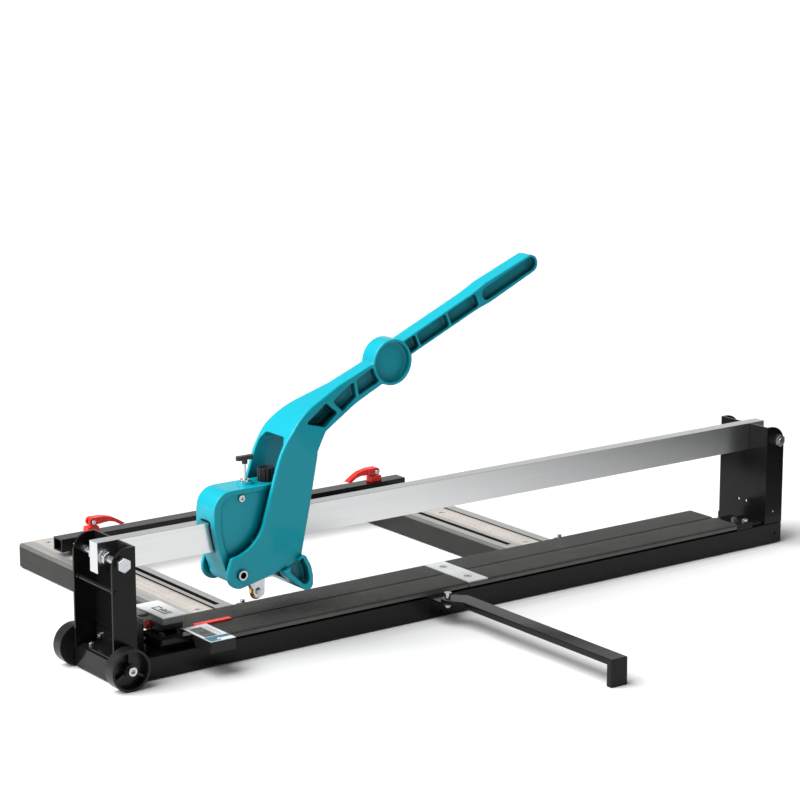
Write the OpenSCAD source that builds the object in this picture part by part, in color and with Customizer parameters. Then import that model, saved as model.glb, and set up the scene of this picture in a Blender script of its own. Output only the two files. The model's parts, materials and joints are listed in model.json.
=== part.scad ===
// Manual tile cutter with a single rail, a sliding carriage and a forked breaking lever.
// Millimetres. X runs along the rail, Y runs from the front to the back, Z is up.
// The origin is the floor point under the middle of the rail.

/* [Rail and posts] */
// Length of the guide rail
rail_l = 1080; // [1040:10:1160]
// Height of the rail section
rail_h = 38; // [36:1:40]
// Thickness of the rail section
rail_t = 18; // [16:1:19]
// Height of the rail underside above the floor
rail_z = 131; // [129:1:140]
// Width of a post across its flanges
post_w = 94; // [90:1:96]
// Depth of a post along the rail
post_d = 32; // [30:1:36]
// Sheet thickness of posts and base
sheet = 3; // [2.5:0.5:3]

/* [Base and tile bed] */
// Width of the base beams
base_w = 98; // [96:1:102]
// Height of the base top above the floor
base_top = 29; // [28:1:30]
// Height of the rubber feet
foot_h = 2; // [2:0.5:3]
// X where the two base beams meet
base_joint_x = -76; // [-100:1:-70]
// Thickness of the rubber bed pads
pad_t = 7; // [5:0.5:7]
// Width of the groove between the pads
groove_w = 3.6; // [3.2:0.1:4]
// X where the pads begin
bed_x0 = -424; // [-424:1:-420]
// X where the pads end
bed_x1 = 455; // [445:1:456]
// Width of the centre plate
centre_plate_w = 31; // [28:1:36]

/* [Cross beams and fence] */
// Width of a cross beam
cross_w = 82; // [80:1:84]
// Left edge of the left cross beam
cross_left_x = -389; // [-395:1:-385]
// Left edge of the middle cross beam
cross_mid_x = 128; // [120:1:130]
// Y where the cross beams end at the back
cross_y1 = 473; // [465:1:500]
// Height of the cross beam tops
cross_top = 34; // [34:1:36]
// Width of the rulers let into the cross beams
ruler_w = 34; // [30:1:36]
// Y of the fence centre line in the delivered pose
fence_y = 388; // [370:1:400]
// Width of the fence tube
fence_w = 22; // [20:1:24]
// Height of the fence tube
fence_h = 18; // [18:1:20]

/* [Carriage and lever] */
// X of the lever pivot
pivot_x = -353; // [-355:1:-350]
// Height of the lever pivot
pivot_z = 103; // [102:1:104]
// Width of the fork over its cheeks
fork_w = 64; // [62:1:68]
// Thickness of one cheek
cheek_t = 6; // [5:0.5:7]
// Thickness of the lever arm
arm_t = 24; // [20:1:28]
// Width of the carriage housing
carriage_w = 42; // [40:1:44]
// Radius of the round boss in the lever arm
disc_r = 29.7; // [28:0.1:31]
// Radius of the cutting wheel
cutter_r = 11; // [9:0.5:11]

/* [Wheels and outrigger] */
// Radius of a transport wheel
wheel_r = 26; // [24:1:26]
// Thickness of a transport wheel
wheel_t = 17; // [14:1:18]
// Width of the outrigger arm
arm_w = 25; // [22:1:26]
// Reach of the outrigger arm from its pivot
arm_l = 314; // [280:1:330]

/* [Hidden] */
$fn = 48;
eps = 0.01;
run = 0.06;                                  // radial running clearance
rail_x = rail_l / 2;
rail_top = rail_z + rail_h;
post_y = post_w / 2;
post_top = rail_top;
web_x = rail_x - 29.5;                       // inner face of a post web
post_x = web_x + post_d;                     // open edge of a post
bolt_x = rail_x - 11;                        // rail bolt
bolt_z = rail_z + 19;
bolt_r = 5;
bolt_hex = 9.4;
tie_x = rail_x - 2.4;                        // spacer rod
tie_z = rail_z - 14.5;
base_y = base_w / 2;
pad_z = base_top + 3;
bed_top = pad_z + pad_t;
notch_x0 = bed_x1 + 6;                       // open corner of the right base beam
notch_x1 = web_x;
notch_y = 12;
carriage_y = carriage_w / 2;
cheek_y = fork_w / 2;
fork_gap = cheek_y - cheek_t;
roller_top_r = 9;
roller_low_r = 7.5;
roller_pin_r = 3;
roller_gap = 0.1;
upper_z = rail_top + roller_top_r + roller_gap;
lower_z = rail_z - roller_low_r - roller_gap;
upper_x = [-360, -281];
lower_x = [-362, -342];
cutter = [pivot_x + 42.5, pivot_z - 35];
fence_z = cross_top + 6.7;
fence_top = fence_z + fence_h;
stud_x = [-324, 146];
slot_x = [-322, 148];                        // stud slots of the cross beams
cam_pin_z = fence_top + 14.9;
cam_r = 6;
cam_y = 6;                                   // half width of a cam
saddle_top = cam_pin_z - cam_r - 0.3;
slot_y0 = 74;
slot_y1 = cross_y1 - 13;
wheel_x = -533;
wheel_y0 = base_y + 5;                       // inner face of a wheel
wheel_y1 = wheel_y0 + wheel_t;
swing = [-74, -80];                          // outrigger pivot
arm_off = 17;                                // arm centre beside its pivot
arm_lip = 8;                                  // depth of the arm's folded sides
arm_z = base_top + 3;
lock_x = -326;
knob_x = -295;
housing_top = 207;
carriage_screw_x = [-344, -290];
disc = [-111, 334.4];                        // centre of the round boss
arm_a = 23.8;                                // slope of the upper arm
arm_o = [0, 389.6];                          // a point on its centre line
grip_l = 121;
grip_mid = -1.5;                             // centre line of the grip beside the arm's
foot_y = 40;
bracket_screws = [-30, 30];
ruler_screw_y = [70, 262, cross_y1 - 18];
plate_screw_y = [-26.5, 26.5];
clamp_screw_x = [-459, -435];
clamp_screw_y = -17;
clamp_top = base_top + 17;
end_bolts = [[470.5, -27], [476, -42]];
laser_x = [-462, -428];
laser_y = [-26, 42];
laser_button_p = [9.5, base_top + 21];
disp_x = [-433, -398];
disp_y = [-87, -21];
disp_top = bed_top + 7;
disp_button = [disp_x[1] - 21, disp_y[0] + 4];
fence_x = [-376, 194];
strip_r = 4;                                 // edge strip of the cross beams
cross_ruler_x = [-354, 174];

// ---------- helpers ----------
module box(x, y, z) {
    translate([x[0], y[0], z[0]]) cube([x[1] - x[0], y[1] - y[0], z[1] - z[0]]);
}

module rod_x(p, r, x) {
    translate([x[0], p[0], p[1]]) rotate([0, 90, 0]) cylinder(r = r, h = x[1] - x[0]);
}

module rod_y(p, r, y) {
    translate([p[0], y[1], p[1]]) rotate([90, 0, 0]) cylinder(r = r, h = y[1] - y[0]);
}

module rod_z(p, r, z) {
    translate([p[0], p[1], z[0]]) cylinder(r = r, h = z[1] - z[0]);
}

module hex_y(p, r, y) {
    translate([p[0], y[1], p[1]]) rotate([90, 0, 0]) rotate([0, 0, 30])
        cylinder(r = r, h = y[1] - y[0], $fn = 6);
}

module hex_z(p, r, z) {
    translate([p[0], p[1], z[0]]) cylinder(r = r, h = z[1] - z[0], $fn = 6);
}

// outline in X and Z, thick in Y
module slab_y(y) {
    translate([0, y[1], 0]) rotate([90, 0, 0]) linear_extrude(y[1] - y[0]) children();
}

// outline in Y and Z, thick in X
module slab_x(x) {
    translate([x[0], 0, 0]) rotate([90, 0, 90]) linear_extrude(x[1] - x[0]) children();
}

// outline in X and Y, thick in Z
module slab_z(z) {
    translate([0, 0, z[0]]) linear_extrude(z[1] - z[0]) children();
}

module rect(x, z) {
    translate([x[0], z[0]]) square([x[1] - x[0], z[1] - z[0]]);
}

module round_rect(x, z, r) {
    rect([x[0] + r, x[1] - r], z);
    rect(x, [z[0] + r, z[1] - r]);
    for (i = [x[0] + r, x[1] - r]) for (j = [z[0] + r, z[1] - r]) translate([i, j]) circle(r);
}

module both_sides() {
    children();
    mirror([0, 1, 0]) children();
}

// ---------- base ----------
module beam_outline(x, g) {
    difference() {
        rect(x, [-base_y + g, base_y - g]);
        rect([notch_x0 - g, notch_x1 + g], [notch_y - g, base_y + 1]);
    }
}

// rectangular tube, closed at its outer end, open at the joint
module base_beam(x, inner_x) {
    difference() {
        slab_z([foot_h, base_top]) beam_outline(x, 0);
        slab_z([foot_h + sheet, base_top - sheet]) beam_outline(inner_x, sheet);
    }
}

module left_base_beam() {
    color([0.10, 0.10, 0.11]) difference() {
        base_beam([-rail_x, base_joint_x], [-rail_x + sheet, base_joint_x + 1]);
        rod_z([-rail_x + 56, -13], 2, [base_top - sheet - 1, base_top + 1]);
    }
}

module right_base_beam() {
    x0 = base_joint_x + 0.5;
    color([0.10, 0.10, 0.11]) difference() {
        base_beam([x0, rail_x], [x0 - 1, rail_x - sheet]);
        rod_y([base_joint_x + 14, foot_h + 6], 2, [-base_y - 1, -base_y + sheet + 1]);
        rod_y([rail_x - 12, foot_h + 13], 1.8, [-base_y - 1, -base_y + sheet + 1]);
    }
}

// channel inside the base that ties the two beams together
module base_joiner() {
    x = [base_joint_x - 60, base_joint_x + 60];
    y = base_y - sheet - 0.2;
    z = [foot_h + sheet, base_top - sheet - 0.2];
    color([0.35, 0.36, 0.38]) difference() {
        box(x, [-y, y], z);
        box([x[0] - 1, x[1] + 1], [-y + sheet, y - sheet], [z[0] + sheet, z[1] + 1]);
    }
}

module rubber_feet() {
    color([0.05, 0.05, 0.05]) {
        for (x = [-470, -150, 150, 400]) for (y = [-32, 32]) rod_z([x, y], 9, [0, foot_h]);
        rod_z([0, 0], 12, [0, foot_h]);
        for (x = [cross_left_x, cross_mid_x] + [cross_w, cross_w] / 2)
            for (y = [base_y + 40, cross_y1 - 20]) rod_z([x, y], 9, [0, foot_h]);
    }
}

// ---------- posts and rail ----------
module post_flange() {
    r = 23;
    rect([web_x, post_x], [base_top, post_top - r]);
    rect([web_x, post_x - r], [base_top, post_top]);
    intersection() {
        rect([web_x, post_x], [base_top, post_top]);
        translate([post_x - r, post_top - r]) circle(r);
    }
}

// right-hand post, a sheet channel open away from the bed
module post() {
    difference() {
        union() {
            slab_y([-post_y, -post_y + sheet]) post_flange();
            slab_y([post_y - sheet, post_y]) post_flange();
            box([web_x, web_x + sheet], [-post_y, post_y], [base_top, post_top]);
        }
        box([web_x - 1, web_x + sheet + 1], [-rail_t / 2, rail_t / 2], [rail_z, post_top + 1]);
        rod_y([bolt_x, bolt_z], bolt_r, [-post_y - 1, post_y + 1]);
        rod_y([tie_x, tie_z], 2.5, [-post_y - 1, post_y + 1]);
        rod_y([rail_x - 13, base_top + 17], 2, [-post_y - 1, -post_y + sheet + 1]);
        for (y = [-7, 8]) rod_x([y, base_top + 27], 2.4, [web_x - 1, web_x + sheet + 1]);
        for (y = bracket_screws) rod_x([y, base_top + 12], 2.5, [web_x + 0.6, web_x + sheet + 1]);
    }
}

module left_post() {
    color([0.06, 0.06, 0.06]) mirror([1, 0, 0]) post();
}

module right_post() {
    color([0.06, 0.06, 0.06]) post();
}

// angle brackets that screw the posts down to the base
module post_bracket() {
    x = web_x + sheet;
    difference() {
        union() {
            box([x, x + sheet], [-40, 40], [base_top, base_top + 22]);
            box([x, x + 24], [-40, 40], [base_top, base_top + sheet]);
        }
        for (y = bracket_screws) rod_x([y, base_top + 12], 2.5, [x - 1, x + sheet + 1]);
        for (y = bracket_screws) rod_z([x + 15, y], 2.5, [base_top - 1, base_top + sheet + 1]);
    }
}

module post_brackets() {
    color([0.12, 0.12, 0.12]) {
        post_bracket();
        mirror([1, 0, 0]) post_bracket();
    }
}

module rail() {
    color([0.78, 0.79, 0.80]) difference() {
        box([-rail_x, rail_x], [-rail_t / 2, rail_t / 2], [rail_z, rail_top]);
        for (x = [-bolt_x, bolt_x]) rod_y([x, bolt_z], bolt_r, [-rail_t, rail_t]);
    }
}

// through bolt with its head at the front
module rail_bolt() {
    hex_y([bolt_x, bolt_z], bolt_hex, [-post_y - 7, -post_y]);
    rod_y([bolt_x, bolt_z], bolt_r, [-post_y - 1, post_y + 10.5]);
}

module rail_nut_set() {
    difference() {
        union() {
            both_sides() hex_y([bolt_x, bolt_z], bolt_hex - 0.6, [rail_t / 2 + 1.5, rail_t / 2 + 9]);
            both_sides() rod_y([bolt_x, bolt_z], bolt_hex + 0.4, [rail_t / 2, rail_t / 2 + 1.5]);
            hex_y([bolt_x, bolt_z], bolt_hex - 0.6, [post_y, post_y + 8]);
        }
        rod_y([bolt_x, bolt_z], bolt_r, [-post_y - 10, post_y + 20]);
    }
}

module rail_bolts() {
    color([0.75, 0.76, 0.78]) {
        mirror([0, 1, 0]) rail_bolt();
        mirror([1, 0, 0]) rail_bolt();
    }
}

module rail_nuts() {
    color([0.72, 0.73, 0.75]) {
        mirror([0, 1, 0]) rail_nut_set();
        mirror([1, 0, 0]) rail_nut_set();
    }
}

module spacer_rods() {
    color([0.05, 0.05, 0.05]) for (s = [-1, 1]) {
        rod_y([s * tie_x, tie_z], 2.5, [-post_y - 1.2, post_y + 1.2]);
        both_sides() rod_y([s * tie_x, tie_z], 3.6, [post_y - 8, post_y - sheet]);
    }
}

// cheese-head screws, all of one size
module screw_z(p, z, l) {
    difference() {
        rod_z(p, 4.2, [z, z + 2.6]);
        hex_z(p, 2, [z + 1, z + 3]);
    }
    rod_z(p, 2.5, [z - l, z + eps]);
}

module screw_x(p, x, l) {
    difference() {
        rod_x(p, 4.2, [x, x + 2.6]);
        translate([x + 1, p[0], p[1]]) rotate([0, 90, 0]) cylinder(r = 2, h = 2, $fn = 6);
    }
    rod_x(p, 2.5, [x - l, x + eps]);
}

module small_screws() {
    x = web_x + 2 * sheet;
    color([0.70, 0.71, 0.72]) {
        for (y = bracket_screws) {
            screw_x([y, base_top + 12], x, 2 * sheet - 1);
            mirror([1, 0, 0]) screw_x([y, base_top + 12], x, 2 * sheet - 1);
            screw_z([x + 12, y], base_top + sheet, sheet);
            mirror([1, 0, 0]) screw_z([x + 12, y], base_top + sheet, sheet);
        }
        for (y = ruler_screw_y) for (x = cross_ruler_x) screw_z([x, y], cross_top - 2.6, 4);
        for (y = plate_screw_y) screw_z([0, y], bed_top - 2.4, 5);
        for (x = clamp_screw_x) screw_z([x, clamp_screw_y], clamp_top - 3, 4);
    }
}

// ---------- tile bed ----------
// rubber pad behind the groove, let in for the centre plate, on two ribs that stand on the base
module pad_pair() {
    x = centre_plate_w / 2 + 0.5;
    difference() {
        union() {
            box([bed_x0, bed_x1], [groove_w / 2, base_y], [pad_z, bed_top]);
            for (y = [8, 38]) box([bed_x0, bed_x1], [y, y + 5], [base_top, pad_z + 1]);
        }
        box([-x, x], [0, base_y + 1], [bed_top - 1.5, bed_top + 1]);
        box([-x, -x + 2], [0, base_y + 1], [base_top - 1, bed_top + 1]);
        rod_z([0, plate_screw_y[1]], 8.3, [base_top - 1, bed_top + 1]);
        box([swing[0] - 14, swing[0] + 32], [0, base_y + 1], [base_top - 1, pad_z]);
    }
}

module bed_pads() {
    color([0.13, 0.13, 0.13]) both_sides() pad_pair();
}

module breaking_ridge() {
    color([0.20, 0.20, 0.21]) slab_x([bed_x0, bed_x1])
        polygon([[-1.5, base_top], [1.5, base_top], [1.5, bed_top - 3], [0.4, bed_top - 1.6],
                 [-0.4, bed_top - 1.6], [-1.5, bed_top - 3]]);
}

module centre_plate() {
    x = centre_plate_w / 2;
    color([0.85, 0.86, 0.87]) difference() {
        union() {
            box([-x, x], [-base_y, base_y], [bed_top - 1.4, bed_top + 0.2]);
            for (y = plate_screw_y) rod_z([0, y], 8, [base_top, bed_top]);
        }
        for (y = plate_screw_y) rod_z([0, y], 5.4, [bed_top - 2.4, bed_top + 1]);
        for (y = plate_screw_y) rod_z([0, y], 2.5, [base_top - 1, bed_top + 1]);
    }
}

module start_strip() {
    color([0.85, 0.05, 0.05]) box([bed_x0 + 22, -350], [-4.5, 4.5], [bed_top, bed_top + 2]);
}

// ---------- cross beams ----------
// section with two chambers and a rabbet for the edge strip
module cross_section() {
    difference() {
        rect([0, cross_w], [foot_h, cross_top]);
        rect([3, cross_w / 2 - 1.5], [foot_h + 3, cross_top - 13]);
        rect([cross_w / 2 + 1.5, cross_w - 3], [foot_h + 3, cross_top - 13]);
        rect([-1, strip_r], [cross_top - strip_r, cross_top + 1]);
    }
}

// the stud slot is closed at both ends, the gap beside the ruler runs through
module cross_beam(x, slot, ruler_x) {
    y = [base_y, cross_y1];
    gap_x = ruler_x + ruler_w / 2;
    difference() {
        slab_y(y) translate([x, 0]) cross_section();
        box([slot - 4, slot + 4], [slot_y0, slot_y1], [cross_top - 5, cross_top + 1]);
        box([slot - 8, slot + 8], [slot_y0, slot_y1], [cross_top - 10, cross_top - 3]);
        box([gap_x - eps, gap_x + 4.5], [y[0] - 1, y[1] - 3], [cross_top - 5, cross_top + 1]);
        box([gap_x - ruler_w, gap_x], [y[0] - 1, y[1] - 3], [cross_top - 1, cross_top + 1]);
        for (y = ruler_screw_y) rod_z([ruler_x, y], 4.3, [cross_top - 2.6, cross_top + 1]);
        for (y = ruler_screw_y) rod_z([ruler_x, y], 2.5, [cross_top - 8, cross_top + 1]);
    }
}

// black quarter-round strip along the left upper edge of each cross beam
module edge_strips() {
    color([0.04, 0.04, 0.04]) for (x = [cross_left_x, cross_mid_x])
        slab_y([base_y, cross_y1]) intersection() {
            translate([x + strip_r, cross_top - strip_r]) circle(strip_r);
            rect([x, x + strip_r], [cross_top - strip_r, cross_top]);
        }
}

module left_cross_beam() {
    color([0.55, 0.56, 0.57]) cross_beam(cross_left_x, slot_x[0], cross_ruler_x[0]);
}

module middle_cross_beam() {
    color([0.55, 0.56, 0.57]) cross_beam(cross_mid_x, slot_x[1], cross_ruler_x[1]);
}

module rulers() {
    color([0.86, 0.85, 0.83]) for (x = cross_ruler_x) difference() {
        box([x - ruler_w / 2, x + ruler_w / 2], [base_y, cross_y1 - 3.2], [cross_top - 1, cross_top]);
        for (y = ruler_screw_y) rod_z([x, y], 4.3, [cross_top - 2, cross_top + 1]);
    }
}

// angle lugs and bolts that hold the cross beams on the base
module cross_beam_bolts() {
    color([0.25, 0.25, 0.26]) for (x = [cross_left_x, cross_mid_x] + [cross_w, cross_w]) {
        box([x, x + 18], [base_y, base_y + 3], [12, bed_top - 3]);
        box([x, x + 3], [base_y, base_y + 20], [12, bed_top - 8]);
        rod_y([x + 10, 22], 5, [base_y + 3, base_y + 6.5]);
        rod_x([base_y + 12, 22], 5, [x + 3, x + 6.5]);
        box([x + 4, x + 16], [base_y, base_y + 10], [bed_top - 6, bed_top - 3]);
        rod_z([x + 10, base_y + 5.5], 3.2, [bed_top - 3, bed_top + 1.5]);
    }
}

// ---------- left end: clamp, laser unit and display ----------
module scale_clamp() {
    x = [-476, -424];
    y = [-46, 2];
    top = [clamp_top - 6, clamp_top];
    color([0.09, 0.09, 0.10]) difference() {
        union() {
            box(x, y, top);
            box([x[0] + 5, x[1] - 1], [y[0] + 13, y[1] - 1], [base_top, clamp_top - 5]);
        }
        box([x[0] + 9, x[1] + 1], [y[0] + 14, y[1] - 8], [clamp_top - 3, clamp_top + 1]);
        for (i = clamp_screw_x) rod_z([i, clamp_screw_y], 2.5, [clamp_top - 8, clamp_top + 1]);
        box([disp_x[0] - 0.3, x[1] + 1], [y[0] - 1, disp_y[1] + 0.3], [bed_top - 1, clamp_top + 1]);
    }
}

module laser_housing() {
    x = laser_x;
    y = laser_y;
    low = clamp_top - 4;
    color([0.52, 0.53, 0.54]) difference() {
        union() {
            box(x, y, [clamp_top + 11, clamp_top + 19]);
            box(x, [y[0] + 10, y[1]], [clamp_top + 1, clamp_top + 12]);
            box(x, [2.3, y[1]], [low, clamp_top + 2]);
        }
        box([x[0] + 2, x[1] - 2], [y[0] + 12, y[1] - 2], [clamp_top + 3, clamp_top + 20]);
        box([x[0] + 2, x[1] - 2], [4.3, y[1] - 2], [low + 2, clamp_top + 4]);
        rod_x(laser_button_p, 4.5 + run, [x[0] - 1, x[0] + 3]);
    }
}

module laser_lid() {
    x = laser_x;
    y = laser_y;
    top = clamp_top + 20.5;
    color([0.90, 0.91, 0.92]) {
        box(x, y, [top - 1.5, top]);
        box([x[0] + 2.2, x[1] - 2.2], [y[0] + 12.2, y[1] - 2.2], [top - 3.5, top - 1]);
    }
}

module laser_button() {
    color([0.85, 0.08, 0.05]) {
        rod_x(laser_button_p, 4.5, [laser_x[0] - 4.5, laser_x[0] + 3]);
        rod_x(laser_button_p, 5, [laser_x[0] + 2.1, laser_x[0] + 4]);
    }
}

module laser_bracket() {
    color([0.50, 0.51, 0.52]) {
        box([-480, -477], [-6, 30], [base_top, clamp_top + 18]);
        box([-478, laser_x[0]], [10, 30], [clamp_top + 14, clamp_top + 18]);
        box([-480, -440], [10, 30], [base_top, base_top + 3]);
    }
}

module end_block() {
    x = [bed_x1 + 1, notch_x1 - 2];
    color([0.08, 0.08, 0.09]) difference() {
        union() {
            box([x[0], x[0] + 30], [-base_y + 1, -4], [base_top, bed_top]);
            box(x, [-base_y + 6, -8], [base_top, base_top + 5]);
        }
        for (p = end_bolts) rod_z(p, 3, [base_top - 1, bed_top + 1]);
    }
}

module end_block_bolts() {
    color([0.74, 0.75, 0.77]) for (p = end_bolts) {
        rod_z(p, 3, [base_top, bed_top]);
        difference() {
            rod_z(p, 4.6, [bed_top, bed_top + 3.6]);
            hex_z(p, 2.6, [bed_top + 1.2, bed_top + 5]);
        }
    }
}

module display_housing() {
    color([0.05, 0.05, 0.06]) difference() {
        union() {
            box(disp_x, disp_y, [bed_top + 0.2, disp_top]);
            box(disp_x, [disp_y[0], -base_y - 1], [bed_top - 7, bed_top + 1]);
        }
        box([disp_x[0] + 5, disp_x[0] + 21], [-67, -31], [disp_top - 3, disp_top + 1]);
        rod_z(disp_button, 2.2 + run, [disp_top - 4, disp_top + 1]);
        rod_z(disp_button, 3.1, [disp_top - 4, disp_top - 2.2]);
    }
}

module display_face() {
    color([0.88, 0.90, 0.91]) difference() {
        box(disp_x, disp_y, [disp_top, disp_top + 1]);
        box([disp_x[0] + 5, disp_x[0] + 21], [-67, -31], [disp_top - 1, disp_top + 2]);
        rod_z(disp_button, 2.2 + run, [disp_top - 1, disp_top + 2]);
    }
}

module display_window() {
    color([0.30, 0.32, 0.31])
        box([disp_x[0] + 5, disp_x[0] + 21], [-67, -31], [disp_top - 3, disp_top + 0.6]);
}

module display_button() {
    color([0.92, 0.92, 0.92]) {
        rod_z(disp_button, 2.2, [disp_top - 2.8, disp_top + 2.2]);
        rod_z(disp_button, 3, [disp_top - 3, disp_top - 2.3]);
    }
}

// ---------- transport wheels ----------
module axle_brackets() {
    color([0.07, 0.07, 0.07]) both_sides() difference() {
        slab_y([base_y, base_y + 3]) {
            rect([wheel_x - 7, wheel_x + 30], [6, base_top - 3]);
            rect([wheel_x - 7, wheel_x + 10], [6, wheel_r + 8]);
        }
        rod_y([wheel_x, wheel_r], 4, [base_y - 1, base_y + 4]);
    }
}

module wheel_axles() {
    color([0.78, 0.79, 0.80]) both_sides() {
        rod_y([wheel_x, wheel_r], 4, [base_y, wheel_y1 + 0.6]);
        difference() {
            rod_y([wheel_x, wheel_r], 5.6, [wheel_y1 + 0.5, wheel_y1 + 4]);
            hex_y([wheel_x, wheel_r], 3, [wheel_y1 - 1, wheel_y1 + 5]);
        }
        rod_y([wheel_x, wheel_r], 6.5, [base_y + 3, wheel_y0 - 0.4]);
    }
}

module wheel() {
    difference() {
        rod_y([wheel_x, wheel_r], wheel_r, [wheel_y0, wheel_y1]);
        difference() {
            rod_y([wheel_x, wheel_r], wheel_r - 3, [wheel_y0 + 7, wheel_y1 + 1]);
            rod_y([wheel_x, wheel_r], 8, [wheel_y0, wheel_y1]);
            for (a = [90, 210, 330]) translate([wheel_x, 0, wheel_r]) rotate([0, -a, 0])
                box([0, wheel_r], [wheel_y0, wheel_y1 - 4], [-1.6, 1.6]);
        }
        rod_y([wheel_x, wheel_r], 4 + run, [wheel_y0 - 1, wheel_y1 + 1]);
    }
}

module front_wheel() {
    color([0.06, 0.06, 0.06]) mirror([0, 1, 0]) wheel();
}

module rear_wheel() {
    color([0.06, 0.06, 0.06]) wheel();
}

// ---------- outrigger ----------
module outrigger_plate() {
    color([0.12, 0.12, 0.13]) difference() {
        slab_z([base_top, arm_z]) {
            rect([swing[0] - 12, swing[0] + 27], [swing[1] + 13, -12]);
            rect([swing[0] - 2, swing[0] + 16], [swing[1] - 11, -40]);
            rect([swing[0] - 12, swing[0] + 16], [swing[1], -40]);
            translate(swing) circle(12);
        }
        rod_z(swing, 3, [base_top - 1, arm_z + 1]);
    }
}

module outrigger_bolt() {
    color([0.76, 0.77, 0.79]) {
        rod_z(swing, 3, [base_top - 6, arm_z + 5.6]);
        rod_z(swing, 3.8, [arm_z + 3.3, arm_z + 8.6]);
        rod_z(swing, 4.8, [arm_z + 8.6, arm_z + 10.8]);
        hex_z(swing, 4.4, [base_top - 4, base_top]);
    }
}

// pressed sheet arm: flat root, channel and a turned-down leg
module outrigger_arm() {
    x = [swing[0] + arm_off - arm_w / 2, swing[0] + arm_off + arm_w / 2];
    y = [swing[1] - arm_l, swing[1] - 14];
    z = [arm_z + 0.1, arm_z + 3.1];
    color([0.14, 0.14, 0.15]) difference() {
        union() {
            slab_z(z) {
                translate(swing) circle(9);
                polygon([[swing[0] - 9, swing[1]], [swing[0] - 3, swing[1] - 14], [x[0], y[1] - 14],
                         [x[1], y[1] - 14], [x[1], swing[1] - 4], [swing[0] + 14, swing[1] + 8],
                         [swing[0], swing[1] + 9]]);
                rect(x, [y[0], y[1] - 10]);
            }
            for (i = [x[0], x[1] - 2]) box([i, i + 2], [y[0], y[1] - 14], [z[1] - arm_lip, z[1]]);
            box([x[0], x[1]], [y[0], y[0] + 3], [0.1, z[1]]);
            for (i = [x[0], x[1] - 2]) box([i, i + 2], [y[0], y[0] + 9], [0.1, z[1]]);
        }
        rod_z(swing, 3 + run, [z[0] - 1, z[1] + 1]);
    }
}

// ---------- fence ----------
module fence_bar() {
    y = [fence_y - fence_w / 2, fence_y + fence_w / 2];
    color([0.10, 0.10, 0.11]) difference() {
        box(fence_x, y, [fence_z, fence_top]);
        box([fence_x[0] - 1, fence_x[1] + 1], [y[0] + 2, y[1] - 2], [fence_z + 2, fence_top - 2]);
        for (x = stud_x) rod_z([x, fence_y], 3, [fence_z - 1, fence_top + 1]);
    }
}

// sliding blocks between the cross beams and the fence, with a tongue in the slot
module fence_shoes() {
    color([0.05, 0.05, 0.05]) for (i = [0, 1]) difference() {
        union() {
            box([stud_x[i] - 30, stud_x[i] + 12], [fence_y - 11, fence_y + 11],
                [cross_top + 0.1, fence_z]);
            box([slot_x[i] - 3.8, slot_x[i] + 3.8], [fence_y - 9, fence_y + 9],
                [cross_top - 2.5, cross_top + 1]);
        }
        rod_z([stud_x[i], fence_y], 1.5, [cross_top - 3, fence_z + 1]);
    }
}

module clamp_studs() {
    color([0.70, 0.71, 0.73]) for (x = stud_x) {
        rod_z([x, fence_y], 1.5, [cross_top - 8, fence_z]);
        rod_z([x, fence_y], 3, [fence_z, fence_top]);
        box([x - 5, x + 5], [fence_y - 7, fence_y + 7], [cross_top - 8, cross_top - 4]);
        difference() {
            union() {
                box([x - 3.3, x + 3.3], [fence_y - 2.3, fence_y + 2.3], [saddle_top, cam_pin_z]);
                rod_y([x, cam_pin_z], 3.3, [fence_y - 2.3, fence_y + 2.3]);
                rod_z([x, fence_y], 3, [fence_top, saddle_top + 0.1]);
            }
            rod_y([x, cam_pin_z], 1.8, [fence_y - 4, fence_y + 4]);
        }
    }
}

module cam_pins() {
    color([0.80, 0.81, 0.83]) for (x = stud_x) {
        rod_y([x, cam_pin_z], 1.8, [fence_y - cam_y - 0.6, fence_y + cam_y + 0.6]);
        both_ends(cam_y + 0.6) difference() {
            rod_y([x, cam_pin_z], 3, [-0.3, 1.1]);
            rod_y([x, cam_pin_z], 1.1, [0.3, 2]);
        }
    }
}

// at both ends of a pin through the fence line
module both_ends(y) {
    translate([0, fence_y + y, 0]) children();
    translate([0, fence_y - y, 0]) mirror([0, 1, 0]) children();
}

// cam lever that points towards +X, pivot at the origin of its own outline
module cam_lever() {
    difference() {
        union() {
            rod_y([0, 0], cam_r, [-cam_y, cam_y]);
            slab_y([-cam_y, cam_y]) polygon([[-1, cam_r - 0.1], [16, 5.6], [30, 2.6], [40, -3],
                                             [50, -9.2], [43, -10.4], [34, -5], [26, -3],
                                             [7, -3.9], [3, -5.1]]);
        }
        box([-20, 4.2], [-2.6, 2.6], [-20, 3.7]);
        rod_y([0, 0], 1.8 + run, [-10, 10]);
        both_sides() slab_y([cam_y - 1.2, cam_y + 1]) rect([14, 60], [-20, 20]);
    }
}

module left_cam_lever() {
    color([0.85, 0.08, 0.05]) translate([stud_x[0], fence_y, cam_pin_z]) cam_lever();
}

module right_cam_lever() {
    color([0.85, 0.08, 0.05]) translate([stud_x[1], fence_y, cam_pin_z]) mirror([1, 0, 0])
        cam_lever();
}

module cam_saddles() {
    color([0.80, 0.07, 0.05]) for (x = stud_x) difference() {
        slab_y([fence_y - cam_y - 0.5, fence_y + cam_y + 0.5])
            polygon([[x - 9.5, fence_top], [x + 9.5, fence_top], [x + 8.5, saddle_top],
                     [x - 8.5, saddle_top]]);
        rod_z([x, fence_y], 3, [fence_top - 1, saddle_top + 1]);
    }
}

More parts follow.
